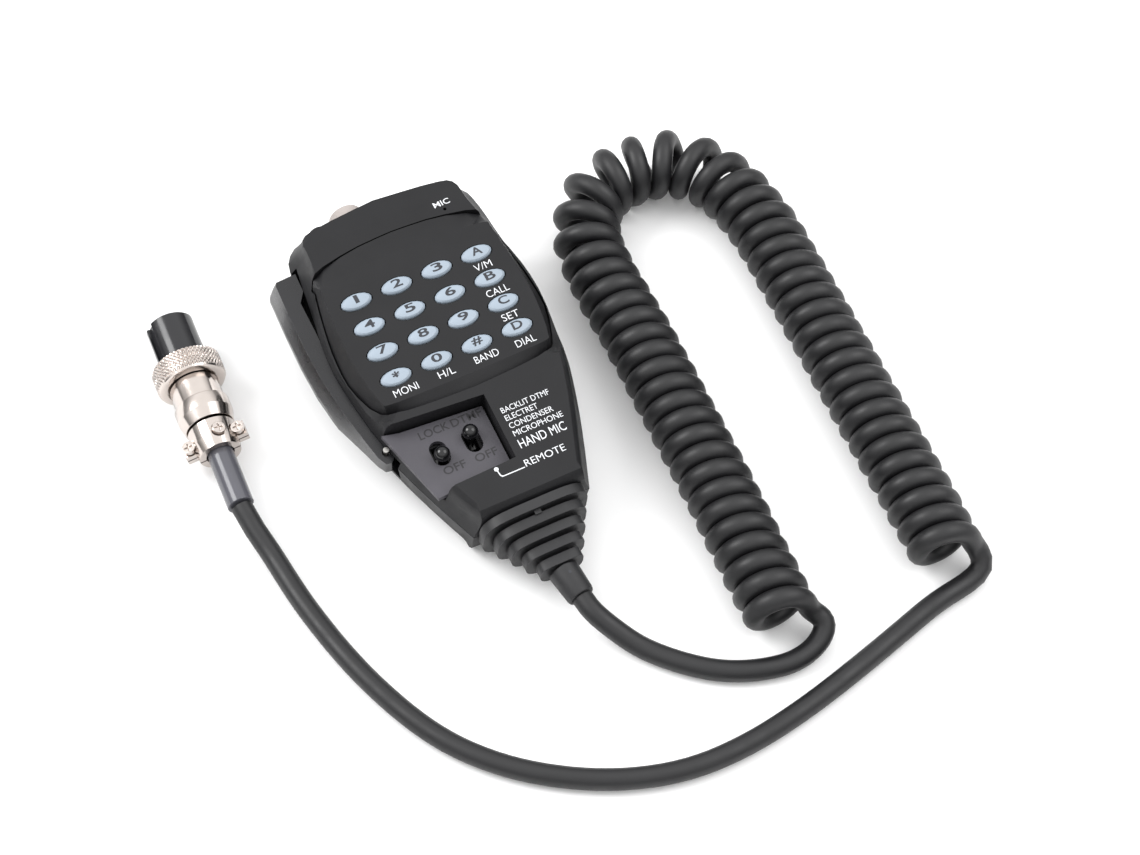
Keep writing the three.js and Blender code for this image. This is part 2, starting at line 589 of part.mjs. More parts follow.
// ---- cord ---------------------------------------------------------------------------------------
// Route points, chosen by hand, in the case's plan: x and y as in the case frame but level, and z
// above the surface. The tails start flush with the neck and the shrink sleeve, and both end against
// the coil's end faces.
const onCase = ([x, y, z]) => {
  const point = new THREE.Vector3(x, y, z).applyAxisAngle(new THREE.Vector3(1, 0, 0), TILT);
  return [point.x, point.y, point.z + LIFT];
};
const onNeck = (distance) => onCase([
  NECK_START_X + distance * Math.sin(NECK_LEAN),
  BOOT_END_Y - GAP - distance * Math.cos(NECK_LEAN),
  NECK_AXIS_Z,
]);
const PLUG_PITCH = THREE.MathUtils.degToRad(PLUG_PITCH_DEG);
const PLUG_YAW = THREE.MathUtils.degToRad(PLUG_YAW_DEG);
const PLUG_AT = [-60.4, 102, RING_RADIUS * Math.cos(PLUG_PITCH) - PLUG.ringBack * Math.sin(PLUG_PITCH)];
const onPlug = (y) => [
  PLUG_AT[0] - y * Math.cos(PLUG_PITCH) * Math.sin(PLUG_YAW),
  PLUG_AT[1] + y * Math.cos(PLUG_PITCH) * Math.cos(PLUG_YAW),
  PLUG_AT[2] + y * Math.sin(PLUG_PITCH),
];
const LAID = CORD_DIAMETER / 2 + 0.15; // height of the cord's centre where it lies on the surface
const MIC_TAIL = [onNeck(NECK_LENGTH + GAP), onNeck(NECK_LENGTH + 4), [5.5, -33.1, 5], [9.6, -39.5, 3.2],
  [16.3, -47.5, LAID], [24.2, -54.2, LAID], [33.5, -58.6, LAID], [42.5, -60.2, 3.4], [49.8, -59.4, 5.6],
  [51.8, -57, 8.6], [50.9, -54.2, 9.9], [50.7, -52.2, 10]];
const COIL_AXIS = [[43.6, -50.8], [44.8, -35.1], [47.3, -9.3], [49.1, 16.1], [50.9, 42.5], [51.7, 64.6],
  [54.3, 78.7], [63.2, 90], [77.4, 92.8], [88.3, 89.3], [95.7, 79.5], [98.9, 62], [97.7, 37.5],
  [95.8, 12.3], [93.9, -12], [92.1, -35.4], [90.4, -53.2]];
const PLUG_TAIL = [[97.5, -54.4, 10], [97.6, -56.6, 9.8], [97.1, -58.9, 7.2], [91.8, -60.6, 4], [84.3, -61.5, LAID],
  [74.3, -64.1, LAID], [58.7, -68.3, LAID], [38.3, -73, LAID], [20.2, -75.4, LAID], [4.5, -74.8, LAID],
  [-10, -70.6, LAID], [-23, -63.7, LAID], [-35.8, -53.5, LAID], [-46.8, -39.4, LAID],
  [-55.9, -16.9, LAID], [-61.4, 9.6, LAID], [-63.6, 31.5, 4.6], onPlug(PLUG.sleeveEnd - 4),
  onPlug(PLUG.sleeveEnd - GAP)];

// A tube along a smooth path; its flats are as far apart as the diameter.
function tube(points, diameter, sides, steps) {
  const ring = [];
  const corner = diameter / 2 / Math.cos(Math.PI / sides);
  for (let i = 0; i < sides; i += 1) {
    const angle = ((i + 0.5) / sides) * 2 * Math.PI;
    ring.push(new THREE.Vector2(corner * Math.cos(angle), corner * Math.sin(angle)));
  }
  const path = new THREE.CatmullRomCurve3(points.map(([x, y, z]) => new THREE.Vector3(x, y, z)), false, 'centripetal');
  return new THREE.ExtrudeGeometry(new THREE.Shape(ring), { steps, extrudePath: path, bevelEnabled: false });
}

const cordCoil = () => tube(COIL_AXIS.map(([x, y]) => [x, y, COIL_AXIS_Z]), COIL_DIAMETER, COIL_SIDES, 26);

// ---- assembly -----------------------------------------------------------------------------------
function named(name, shape, material) {
  const geometry = shape.isBufferGeometry ? shape : toGeometry(shape);
  const mesh = new THREE.Mesh(geometry, material);
  mesh.name = name;
  return mesh;
}

function microphone() {
  const group = new THREE.Group();
  group.rotation.x = TILT;
  group.position.z = LIFT;
  group.add(
    named('front_shell', cut(frontShell(), pttSocket()), CASE_BLACK),
    named('rear_shell', cut(rearShell(), pttSocket()), CASE_BLACK),
    named('keypad_plate', keypadPlate(), CASE_BLACK),
    named('key_mat', keyMat(), RUBBER),
    named('main_board', mainBoard(), BOARD_GREEN),
    named('switch_plate', switchPlate(), PLATE_GREY),
    named('lock_switch', switchBody(SLOT_X[0]), PART_BLACK),
    named('tone_switch', switchBody(SLOT_X[1]), PART_BLACK),
    named('lock_knob', switchKnob(SLOT_X[0], SLOT_Y - SWITCH_TRAVEL / 2), KNOB_BLACK),
    named('tone_knob', switchKnob(SLOT_X[1], SLOT_Y + SWITCH_TRAVEL / 2), KNOB_BLACK),
    named('mic_capsule', micCapsule(), STEEL),
    named('mic_holder', micHolder(), RUBBER),
    named('ptt_lever', pttLever(), LEVER_BLACK),
    named('ptt_pin', pttPin(), STEEL),
    named('ptt_leaf', pttLeaf(), STEEL),
    named('ptt_switch', pttSwitch(), PART_BLACK),
    named('ptt_plunger', pttPlunger(), PART_BLACK),
    named('hanger_stud', hangerStud(), STEEL),
    named('stud_screw', studScrew(), STEEL),
    named('cord_boot', cordBoot(), RUBBER),
    named('cord_relief', cordRelief(), RUBBER),
  );
  const cap = keyCap();
  keyCentres().forEach(([x, y], i) => {
    group.add(named(`key_${KEY_NAMES[i]}`, cap.translate([x, y, 0]), KEY_BLUE));
  });
  TOP_KEYS.forEach((key) => group.add(named(key.name, topKey(key), key.material)));
  SCREWS.forEach(([x, y], i) => group.add(named(`case_screw_${i + 1}`, caseScrew(x, y), STEEL)));
  return group;
}

function plug() {
  const group = new THREE.Group();
  group.rotation.set(PLUG_PITCH, 0, PLUG_YAW, 'ZXY');
  group.position.set(...PLUG_AT);
  const clamp = new THREE.Group();
  clamp.rotation.y = THREE.MathUtils.degToRad(CLAMP_SPLIT_DEG);
  clamp.add(
    named('clamp_upper', clampHalf(1), NICKEL),
    named('clamp_lower', clampHalf(-1), NICKEL),
    named('clamp_screw_right', crossScrew(EAR_X, 2, -1.6), NICKEL),
    named('clamp_screw_left', crossScrew(-EAR_X, 2, -1.6), NICKEL),
    named('clamp_screw_top', crossScrew(0, 5.9, 4.2).rotate([0, TOP_SCREW_DEG, 0]), NICKEL),
  );
  group.add(
    named('plug_insert', plugInsert(), INSERT_BLACK),
    named('coupling_ring', couplingRing(), NICKEL),
    named('plug_barrel', plugBarrel(), NICKEL),
    named('plug_sleeve', plugSleeve(), SLEEVE_GREY),
    clamp,
  );
  return group;
}

function cord() {
  const group = new THREE.Group();
  group.add(
    named('cord_mic_tail', tube(MIC_TAIL, CORD_DIAMETER, CORD_SIDES, 12), RUBBER),
    named('cord_coil', cordCoil(), RUBBER),
    named('cord_plug_tail', tube(PLUG_TAIL, CORD_DIAMETER, CORD_SIDES, 26), RUBBER),
  );
  return group;
}

const handMicrophone = new THREE.Group();
handMicrophone.position.set(-ORIGIN_X, -ORIGIN_Y, 0);
handMicrophone.add(microphone(), plug(), cord());

export default handMicrophone;
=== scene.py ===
"""Looks of a hand microphone with a keypad, a talk lever, a curly cord and a round plug.

The frame is in metres: the microphone lies on its back, +Y towards its top, +Z up. Lengths named
here are in millimetres. Those of the camera's place, the studio and the materials' grain are in metres.
"""
import json
import math

import bmesh
import bpy
import numpy as np
from mathutils import Matrix, Vector
from mathutils.bvhtree import BVHTree


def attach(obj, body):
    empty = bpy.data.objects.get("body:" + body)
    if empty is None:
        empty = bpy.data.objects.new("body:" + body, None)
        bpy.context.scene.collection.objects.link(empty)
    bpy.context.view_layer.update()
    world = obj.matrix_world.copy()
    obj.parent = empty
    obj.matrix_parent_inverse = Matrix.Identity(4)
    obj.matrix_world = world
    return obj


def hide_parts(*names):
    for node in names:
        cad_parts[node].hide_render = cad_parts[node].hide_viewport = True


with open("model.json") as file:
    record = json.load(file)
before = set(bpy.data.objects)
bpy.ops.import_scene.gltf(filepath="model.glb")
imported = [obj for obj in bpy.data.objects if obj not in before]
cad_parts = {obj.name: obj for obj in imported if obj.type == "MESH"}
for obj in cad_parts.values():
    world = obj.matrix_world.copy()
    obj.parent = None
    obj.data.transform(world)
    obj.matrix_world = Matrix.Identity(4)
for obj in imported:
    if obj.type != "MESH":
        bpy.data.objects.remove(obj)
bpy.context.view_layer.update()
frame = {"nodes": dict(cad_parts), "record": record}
NODES = frame["nodes"]
MM = 0.001

# ---- the microphone's tilted case frame -----------------------------------------------------------
HEEL_Y, HEEL_Z = 8.5, -24.73             # lower edge of the back, on the surface
STUD_RIM_Y, STUD_BOTTOM_Z = 55.5, -31.0  # lowest point of the hanger stud
TILT = math.atan2(HEEL_Z - STUD_BOTTOM_Z, STUD_RIM_Y - HEEL_Y)
LIFT = -(HEEL_Y * math.sin(TILT) + HEEL_Z * math.cos(TILT))
ORIGIN_X = -2.86
ORIGIN_Y = 41.0
PLAN = Matrix.Translation((-ORIGIN_X, -ORIGIN_Y, 0))
CASE = (Matrix.Translation((-ORIGIN_X * MM, -ORIGIN_Y * MM, LIFT * MM))
        @ Matrix.Rotation(TILT, 4, "X") @ Matrix.Scale(MM, 4))

# ---- camera -----------------------------------------------------------------------------------------
CAMERA_TARGET = Vector((0.02725, -0.0111, 0.0))
CAMERA_AZIMUTH = math.radians(26.89)
CAMERA_ELEVATION = math.radians(56.79)
CAMERA_DISTANCE = 0.7235
CAMERA_LENS = 85.26
SENSOR_WIDTH = 36.0


def make_camera():
    data = bpy.data.cameras.new("camera")
    data.lens = CAMERA_LENS
    data.sensor_width = SENSOR_WIDTH
    data.clip_start = 0.01
    camera = bpy.data.objects.new("camera", data)
    bpy.context.scene.collection.objects.link(camera)
    flat = math.cos(CAMERA_ELEVATION)
    towards = Vector((-flat * math.sin(CAMERA_AZIMUTH), -flat * math.cos(CAMERA_AZIMUTH),
                      math.sin(CAMERA_ELEVATION)))
    camera.location = CAMERA_TARGET + CAMERA_DISTANCE * towards
    camera.rotation_euler = (-towards).to_track_quat("-Z", "Y").to_euler()
    bpy.context.scene.camera = camera


make_camera()


# ---- materials --------------------------------------------------------------------------------------
def srgb(value):
    """Linear value of an sRGB level from 0 to 255."""
    level = value / 255
    return level / 12.92 if level <= 0.04045 else ((level + 0.055) / 1.055) ** 2.4


def colour(r, g, b):
    return (srgb(r), srgb(g), srgb(b))


class Nodes:
    """A small helper round a material's node tree."""

    def __init__(self, name):
        self.material = bpy.data.materials.new(name)
        self.material.use_nodes = True
        self.tree = self.material.node_tree
        self.shader = self.tree.nodes["Principled BSDF"]
        self.coords = self.add("ShaderNodeTexCoord").outputs["Object"]

    def add(self, kind):
        return self.tree.nodes.new(kind)

    def link(self, source, target):
        self.tree.links.new(source, target)

    def noise(self, scale, detail, roughness=0.5):
        node = self.add("ShaderNodeTexNoise")
        node.inputs["Scale"].default_value = scale
        node.inputs["Detail"].default_value = detail
        node.inputs["Roughness"].default_value = roughness
        self.link(self.coords, node.inputs["Vector"])
        return node.outputs["Fac"]

    def ramp(self, source, stops):
        """Colour from a noise, between two stops of (position, colour)."""
        node = self.add("ShaderNodeValToRGB")
        for element, (position, value) in zip(node.color_ramp.elements, stops):
            element.position = position
            element.color = (*value, 1.0)
        self.link(source, node.inputs["Fac"])
        return node.outputs["Color"]

    def grey(self, source, low, high):
        """The middle of a noise's range, spread from low to high."""
        node = self.add("ShaderNodeMapRange")
        node.inputs["From Min"].default_value = 0.3
        node.inputs["From Max"].default_value = 0.7
        node.inputs["To Min"].default_value = low
        node.inputs["To Max"].default_value = high
        self.link(source, node.inputs["Value"])
        return node.outputs["Result"]

    def bump(self, source, strength, distance):
        node = self.add("ShaderNodeBump")
        node.inputs["Strength"].default_value = strength
        node.inputs["Distance"].default_value = distance
        self.link(source, node.inputs["Height"])
        return node.outputs["Normal"]


def moulded(name, base, spread=0.12, roughness=(0.45, 0.6), grain=2600, grain_depth=0.00004,
            grain_strength=0.35, specular=0.5):
    """Plastic or rubber: slightly uneven colour, fine grain and uneven gloss."""
    m = Nodes(name)
    broad = m.noise(60, 2)
    fine = m.noise(grain, 2, 0.6)
    low = tuple(c * (1 - spread) for c in base)
    high = tuple(c * (1 + spread) for c in base)
    m.link(m.ramp(broad, [(0.3, low), (0.7, high)]), m.shader.inputs["Base Color"])
    m.link(m.grey(m.noise(220, 3), *roughness), m.shader.inputs["Roughness"])
    m.link(m.bump(fine, grain_strength, grain_depth), m.shader.inputs["Normal"])
    m.shader.inputs["Specular IOR Level"].default_value = specular
    return m.material


def metal(name, base, roughness):
    """Plated metal with faint wear and a slightly uneven gloss."""
    m = Nodes(name)
    worn = tuple(c * 0.93 for c in base)
    m.link(m.ramp(m.noise(180, 3), [(0.35, worn), (0.65, base)]), m.shader.inputs["Base Color"])
    m.link(m.grey(m.noise(340, 4), *roughness), m.shader.inputs["Roughness"])
    m.link(m.bump(m.noise(900, 3, 0.6), 0.06, 0.00003), m.shader.inputs["Normal"])
    m.shader.inputs["Metallic"].default_value = 1.0
    return m.material


MATERIALS = {
    "case_black": moulded("case_black", colour(25, 25, 27), roughness=(0.44, 0.56), grain_depth=0.00006,
                          specular=0.28),
    "lever_black": moulded("lever_black", colour(24, 24, 27), roughness=(0.22, 0.32), grain_strength=0.12),
    "plate_grey": moulded("plate_grey", colour(68, 66, 72), roughness=(0.5, 0.65)),
    "knob_black": moulded("knob_black", colour(14, 14, 16), roughness=(0.06, 0.14), grain_strength=0.03),
    "key_blue": moulded("key_blue", colour(146, 158, 170), 0.03, (0.38, 0.5), grain_strength=0.08),
    "key_pale": moulded("key_pale", colour(168, 160, 156), 0.06, (0.6, 0.8), 1500, 0.0001, 0.9),
    "soft_rubber": moulded("soft_rubber", colour(27, 27, 29), roughness=(0.46, 0.6), grain_strength=0.25),
    "cord_rubber": moulded("cord_rubber", colour(21, 21, 23), 0.1, (0.42, 0.56), 1800, 0.00004, 0.3),
    "board_green": moulded("board_green", colour(32, 92, 54), 0.1, (0.35, 0.5)),
    "part_black": moulded("part_black", colour(24, 24, 26), roughness=(0.35, 0.5), grain_strength=0.1),
    "insert_black": moulded("insert_black", colour(26, 26, 29), 0.1, (0.12, 0.22), grain_strength=0.04),
    "nickel": metal("nickel", colour(200, 191, 185), (0.12, 0.2)),
    "steel": metal("steel", colour(190, 188, 184), (0.25, 0.4)),
    "sleeve_grey": moulded("sleeve_grey", colour(78, 78, 84), 0.12, (0.1, 0.2), grain_strength=0.05),
    "print_white": moulded("print_white", colour(215, 217, 220), 0.03, (0.5, 0.6), grain_strength=0.05),
    # Black print of the key labels, also used as painted shade for the small hole in the strain relief.
    "print_and_shade_black": moulded("print_and_shade_black", colour(40, 42, 48), 0.03, (0.5, 0.6), grain_strength=0.05),
    "mark_grey": moulded("mark_grey", colour(36, 35, 38), 0.05, (0.5, 0.65), grain_strength=0.05),
}
SLOT_OF = {entry["node"]: entry["material_slot"] for entry in frame["record"]["subparts"]}
BODY_OF = {}
for body_name, members in frame["record"]["behaviour"]["bodies"].items():
    for member in members:
        BODY_OF[member] = body_name


# ---- building ---------------------------------------------------------------------------------------
WELD = 2e-6            # metres within which points are joined
FLAT_ANGLE = 0.3       # degrees below which faces are taken as one
EDGE_ANGLE = 28        # degrees above which an edge is rounded and shaded sharp
KNURL_EDGE_ANGLE = 30  # the same for the knurled ring, which is only shaded
ROUND_SEGMENTS = 2


def make_piece(name, mesh, body, slot, replaces=(), material=None):
    obj = bpy.data.objects.new(name, mesh)
    bpy.context.scene.collection.objects.link(obj)
    mesh.materials.clear()
    mesh.materials.append(MATERIALS[material or slot])
    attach(obj, body)
    if replaces:
        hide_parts(*replaces)
    return obj


def smooth(mesh, angle):
    mesh.shade_smooth()
    mesh.set_sharp_from_angle(angle=math.radians(angle))


def refine(node, bevel):
    """A piece with the CAD node's own shape, its edges rounded and its curved walls smooth."""
    bm = bmesh.new()
    bm.from_mesh(NODES[node].data)
    bmesh.ops.remove_doubles(bm, verts=bm.verts, dist=WELD)
    bmesh.ops.dissolve_limit(bm, angle_limit=math.radians(FLAT_ANGLE), verts=bm.verts, edges=bm.edges)
    mesh = bpy.data.meshes.new(node + "_look")
    bm.to_mesh(mesh)
    bm.free()
    smooth(mesh, EDGE_ANGLE)
    piece = make_piece(node + "_look", mesh, BODY_OF[node], SLOT_OF[node], (node,))
    if bevel:
        modifier = piece.modifiers.new("round", "BEVEL")
        modifier.width = bevel * MM
        modifier.segments = ROUND_SEGMENTS
        modifier.limit_method = "ANGLE"
        modifier.angle_limit = math.radians(EDGE_ANGLE)
        modifier.harden_normals = True
        modifier.use_clamp_overlap = True
    return piece


# ---- cord -------------------------------------------------------------------------------------------
CORD_DIAMETER = 5.7
COIL_RADIUS = 7.05   # from the coil's axis to the middle of the cord
COIL_HEIGHT = 10.0   # height of the coil's axis
TURN_GAP = 0.06      # left between neighbouring turns
WANDER = 0.05        # by which the coil's radius wanders
WANDER_RATE = 0.37   # wanders in a turn's angle
BEND_LIMIT = 0.5     # largest share of the coil's radius by which its turns are spread in a bend
AXIS_POINTS = 900
SMOOTHING = 61       # axis points over which the bend is evened out
POINTS_PER_TURN = 16
MIC_TAIL_POINTS = 32
PLUG_TAIL_POINTS = 40
END_GAP = 0.3        # between a cord end and the piece that it enters
STRAIGHT_LEAD = 4    # length over which it leaves that piece straight
LAID = 3.0           # height of the cord's middle where it lies on the surface
# Route points in the case's plan: x and y as in the case frame but level, z above the surface.
MIC_TAIL = [(5.5, -33.1, 5), (9.6, -39.5, 3.2), (16.3, -47.5, LAID), (24.2, -54.2, LAID),
            (33.5, -58.6, LAID), (42.9, -60.3, 3.1), (50.6, -58.4, 4.2), (53.8, -55, 6.2)]
COIL_AXIS = [(43.6, -50.8), (44.8, -35.1), (47.3, -9.3), (49.1, 16.1), (50.9, 42.5), (51.7, 64.6),
             (54.3, 78.7), (63.2, 90), (77.4, 92.8), (88.3, 89.3), (95.7, 79.5), (98.9, 62),
             (97.7, 37.5), (95.8, 12.3), (93.9, -12), (92.1, -35.4), (90.4, -53.2)]
PLUG_TAIL = [(100.6, -57.2, 5.8), (98, -60, 3.9), (91.7, -60.8, LAID), (84.3, -61.5, LAID),
             (74.3, -64.1, LAID), (58.7, -68.3, LAID), (38.3, -73, LAID), (20.2, -75.4, LAID),
             (4.5, -74.8, LAID), (-10, -70.6, LAID), (-23, -63.7, LAID), (-35.8, -53.5, LAID),
             (-46.8, -39.4, LAID), (-55.9, -16.9, LAID), (-61.4, 9.6, LAID), (-63.6, 31.5, 4.6)]
# Where the tails meet the coil, measured from its two ends.
MIC_JOIN = (1.2, -0.9, -2.2)
PLUG_JOIN = (1.4, -0.9, -2.2)


def smooth_route(points, count):
    """Evenly spaced points on a centripetal spline through the given ones."""
    points = [np.array(p, float) for p in points]
    padded = [2 * points[0] - points[1]] + points + [2 * points[-1] - points[-2]]
    dense = []
    for p0, p1, p2, p3 in zip(padded, padded[1:], padded[2:], padded[3:]):
        t1 = np.linalg.norm(p1 - p0) ** 0.5
        t2 = t1 + np.linalg.norm(p2 - p1) ** 0.5
        t3 = t2 + np.linalg.norm(p3 - p2) ** 0.5
        for t in np.linspace(t1, t2, 24, endpoint=False):
            a1 = (t1 - t) / t1 * p0 + t / t1 * p1
            a2 = (t2 - t) / (t2 - t1) * p1 + (t - t1) / (t2 - t1) * p2
            a3 = (t3 - t) / (t3 - t2) * p2 + (t - t2) / (t3 - t2) * p3
            b1 = (t2 - t) / t2 * a1 + t / t2 * a2
            b2 = (t3 - t) / (t3 - t1) * a2 + (t - t1) / (t3 - t1) * a3
            dense.append((t2 - t) / (t2 - t1) * b1 + (t - t1) / (t2 - t1) * b2)
    dense.append(points[-1])
    dense = np.array(dense)
    travelled = np.concatenate([[0], np.cumsum(np.linalg.norm(np.diff(dense, axis=0), axis=1))])
    wanted = np.linspace(0, travelled[-1], count)
    return np.column_stack([np.interp(wanted, travelled, dense[:, k]) for k in range(dense.shape[1])])


def in_plan(point):
    """A point of the frame in the case's plan."""
    return tuple(PLAN.inverted() @ (point / MM))


NECK_START_X = 0.4
NECK_START_Y = -15.1
NECK_END_Y = -23.8
NECK_AXIS_Z = -12.4
NECK_LEAN = math.radians(7)
NECK_LENGTH = (NECK_START_Y - NECK_END_Y) / math.cos(NECK_LEAN)


def on_neck(distance):
    """A point on the strain relief's middle line, in the case's plan."""
    return in_plan(CASE @ Vector((NECK_START_X + distance * math.sin(NECK_LEAN),
                                  NECK_START_Y - distance * math.cos(NECK_LEAN), NECK_AXIS_Z)))


RING_FRONT = -13.7  # the coupling ring's ends along the plug, whose mating face is at 0
RING_BACK = -20.6
RING_RADIUS = 9.5   # the ring rests on the surface
SLEEVE_END_Y = -59.8
PLUG_PITCH = math.radians(2.5)
PLUG_YAW = math.radians(-4.4)
PLUG_X = -60.4 - ORIGIN_X
PLUG_Y = 102 - ORIGIN_Y
PLUG_Z = RING_RADIUS * math.cos(PLUG_PITCH) - RING_BACK * math.sin(PLUG_PITCH)
PLUG = (Matrix.Translation((PLUG_X * MM, PLUG_Y * MM, PLUG_Z * MM))
        @ Matrix.Rotation(PLUG_YAW, 4, "Z") @ Matrix.Rotation(PLUG_PITCH, 4, "X") @ Matrix.Scale(MM, 4))


def on_plug(y):
    """A point on the plug's middle line, in the case's plan."""
    return in_plan(PLUG @ Vector((0, y, 0)))


def coil_points():
    """A left-handed winding along the coil's axis, its turns close together on the inside of the bend."""
    axis = smooth_route([(x, y, COIL_HEIGHT) for x, y in COIL_AXIS], AXIS_POINTS)
    step = np.linalg.norm(axis[1] - axis[0])
    forward = np.gradient(axis, axis=0)
    forward /= np.linalg.norm(forward, axis=1)[:, None]
    heading = np.unwrap(np.arctan2(forward[:, 1], forward[:, 0]))
    bend = np.abs(np.gradient(heading)) / step
    kernel = np.hanning(SMOOTHING) / np.hanning(SMOOTHING).sum()
    bend = np.convolve(np.pad(bend, SMOOTHING // 2, mode="edge"), kernel, mode="valid")
    pitch = (CORD_DIAMETER + TURN_GAP) / (1 - np.clip(COIL_RADIUS * bend, 0, BEND_LIMIT))
    angle = np.concatenate([[0], np.cumsum(2 * np.pi * step / pitch[:-1])])
    # The winding starts and ends on opposite sides, with half a turn over.
    turns = math.floor(angle[-1] / (2 * np.pi)) + 0.5
    if turns > angle[-1] / (2 * np.pi):
        turns -= 1
    angle *= turns * 2 * np.pi / angle[-1]
    up = np.array((0, 0, 1))
    points = []
    for a in np.linspace(0, angle[-1], int(turns * POINTS_PER_TURN)):
        centre = np.array([np.interp(a, angle, axis[:, j]) for j in range(3)])
        ahead = np.array([np.interp(a, angle, forward[:, j]) for j in range(3)])
        side = np.cross(ahead, up)
        side /= np.linalg.norm(side)
        radius = COIL_RADIUS - WANDER * (1 + math.sin(a * WANDER_RATE))
        points.append(centre + radius * (math.cos(a) * side + math.sin(a) * up))
    return np.array(points)


def make_cord():
    winding = coil_points()
    mic_join = tuple(winding[0] + np.array(MIC_JOIN))
    plug_join = tuple(winding[-1] + np.array(PLUG_JOIN))
    neck_end = [on_neck(NECK_LENGTH + END_GAP), on_neck(NECK_LENGTH + STRAIGHT_LEAD)]
    sleeve_end = [on_plug(SLEEVE_END_Y - STRAIGHT_LEAD), on_plug(SLEEVE_END_Y - END_GAP)]
    first = smooth_route(neck_end + MIC_TAIL + [mic_join], MIC_TAIL_POINTS)
    last = smooth_route([plug_join] + PLUG_TAIL + sleeve_end, PLUG_TAIL_POINTS)
    points = np.vstack([first, winding, last]) + np.array(PLAN.translation)
    curve = bpy.data.curves.new("curly_cord", "CURVE")
    curve.dimensions = "3D"
    curve.bevel_depth = CORD_DIAMETER / 2 * MM
    curve.bevel_resolution = 5
    curve.use_fill_caps = True
    curve.resolution_u = 2
    spline = curve.splines.new("NURBS")
    spline.points.add(len(points) - 1)
    for point, co in zip(spline.points, points):
        point.co = (*(co * MM), 1)
    spline.order_u = 4
    spline.use_endpoint_u = True
    length = float(np.linalg.norm(np.diff(points, axis=0), axis=1).sum()) * MM
    cord = bpy.data.objects.new("curly_cord", curve)
    bpy.context.scene.collection.objects.link(cord)
    curve.materials.append(MATERIALS["cord_rubber"])
    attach(cord, "case")
    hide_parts("cord_mic_tail", "cord_coil", "cord_plug_tail")
    return cord, length, tuple(points[0] * MM)


cord, cord_length, cord_exit = make_cord()


# ---- plug -------------------------------------------------------------------------------------------
def plug_mesh(name, build):
    """The mesh that build makes in the plug's own millimetres, put in the plug's place."""
    bm = bmesh.new()
    build(bm)
    bmesh.ops.transform(bm, matrix=PLUG, verts=bm.verts)
    mesh = bpy.data.meshes.new(name)
    bmesh.ops.recalc_face_normals(bm, faces=bm.faces)
    bm.to_mesh(mesh)
    bm.free()
    return mesh


def revolve(bm, profile, sides, relief):
    """Skins a closed (radius, y) profile round y. relief(angle, index, y) adds to the radius."""
    rings = []
    for k in range(sides):
        angle = 2 * math.pi * k / sides
        ring = []
        for i, (r, y) in enumerate(profile):
            radius = r + relief(angle, i, y)
            ring.append(bm.verts.new((radius * math.cos(angle), y, radius * math.sin(angle))))
        rings.append(ring)
    for k in range(sides):
        here, there = rings[k], rings[(k + 1) % sides]
        for i in range(len(profile)):
            j = (i + 1) % len(profile)
            bm.faces.new((here[i], here[j], there[j], there[i]))


RING_BORE = 7.15
RING_THREAD_BORE = 8.0
RING_SIDES = 520
KNURL_ROWS = 26    # points along the knurl
KNURL_LINES = 52   # grooves of each hand
KNURL_DEPTH = 0.36
KNURL_SPREAD = 1.6  # steepness of a groove's walls
KNURL_SINK = 0.06


def ring_knurl(bm):
    """A ring with crossed grooves over its outside, and a bore with a step."""
    first_y = RING_BACK + 1.1
    last_y = RING_FRONT - 0.5
    profile = [(RING_BORE, RING_BACK), (8.3, RING_BACK), (9.0, RING_BACK + 0.35),
               (RING_RADIUS - 0.35, RING_BACK + 0.9)]
    first = len(profile)
    for i in range(KNURL_ROWS + 1):
        profile.append((RING_RADIUS - 0.3, first_y + (last_y - first_y) * i / KNURL_ROWS))
    last = len(profile)
    profile += [(RING_RADIUS - 0.4, RING_FRONT - 0.3), (RING_RADIUS - 0.8, RING_FRONT),
                (RING_THREAD_BORE, RING_FRONT), (RING_THREAD_BORE, RING_BACK + 1.4),
                (RING_BORE, RING_BACK + 1.4)]

    def relief(angle, i, y):
        if not first <= i < last:
            return 0
        along = (y - RING_BACK) * KNURL_LINES / RING_RADIUS
        one_hand = abs(math.sin((angle * KNURL_LINES + along) / 2))
        other_hand = abs(math.sin((angle * KNURL_LINES - along) / 2))
        return KNURL_DEPTH * min(1, KNURL_SPREAD * min(one_hand, other_hand)) - KNURL_SINK

    revolve(bm, profile, RING_SIDES, relief)


ring = make_piece("knurled_ring", plug_mesh("knurled_ring", ring_knurl), "coupling_ring", "nickel",
                  ("coupling_ring",))
smooth(ring.data, KNURL_EDGE_ANGLE)
# Rounding of edges by node, in millimetres.
PLUG_ROUNDING = {"plug_barrel": 0.15, "plug_insert": 0.2, "clamp_upper": 0.25, "clamp_lower": 0.25,
                 "clamp_screw_left": 0.12, "clamp_screw_right": 0.12, "clamp_screw_top": 0.12,
                 "plug_sleeve": 0.2}
for node, bevel in PLUG_ROUNDING.items():
    refine(node, bevel)

# ---- case -------------------------------------------------------------------------------------------
CASE_ROUNDING = {"front_shell": 0.3, "rear_shell": 0.3, "keypad_plate": 0.22, "switch_plate": 0.15,
                 "ptt_lever": 0.5, "cord_boot": 0.35, "cord_relief": 0.3, "hanger_stud": 0.3,
                 "lock_knob": 0.0, "tone_knob": 0.0, "up_key": 0.3, "down_key": 0.3}
KEY_ROUNDING = 0.12
for node, bevel in CASE_ROUNDING.items():
    refine(node, bevel)
for node in NODES:
    if node.startswith("key_") and node != "key_mat":
        refine(node, KEY_ROUNDING)


# ---- print ------------------------------------------------------------------------------------------
CASE_DOWN = (CASE.to_3x3() @ Vector((0, 0, -1))).normalized()
PRINT_LIFT = 0.03   # of the print over the surface
PRINT_GRID = 0.5    # at which it is cut, so that it can follow the surface
ABOVE_CASE = 8.0    # height from which the surface is looked for
DISC_SIDES = 20
SURFACES = {}


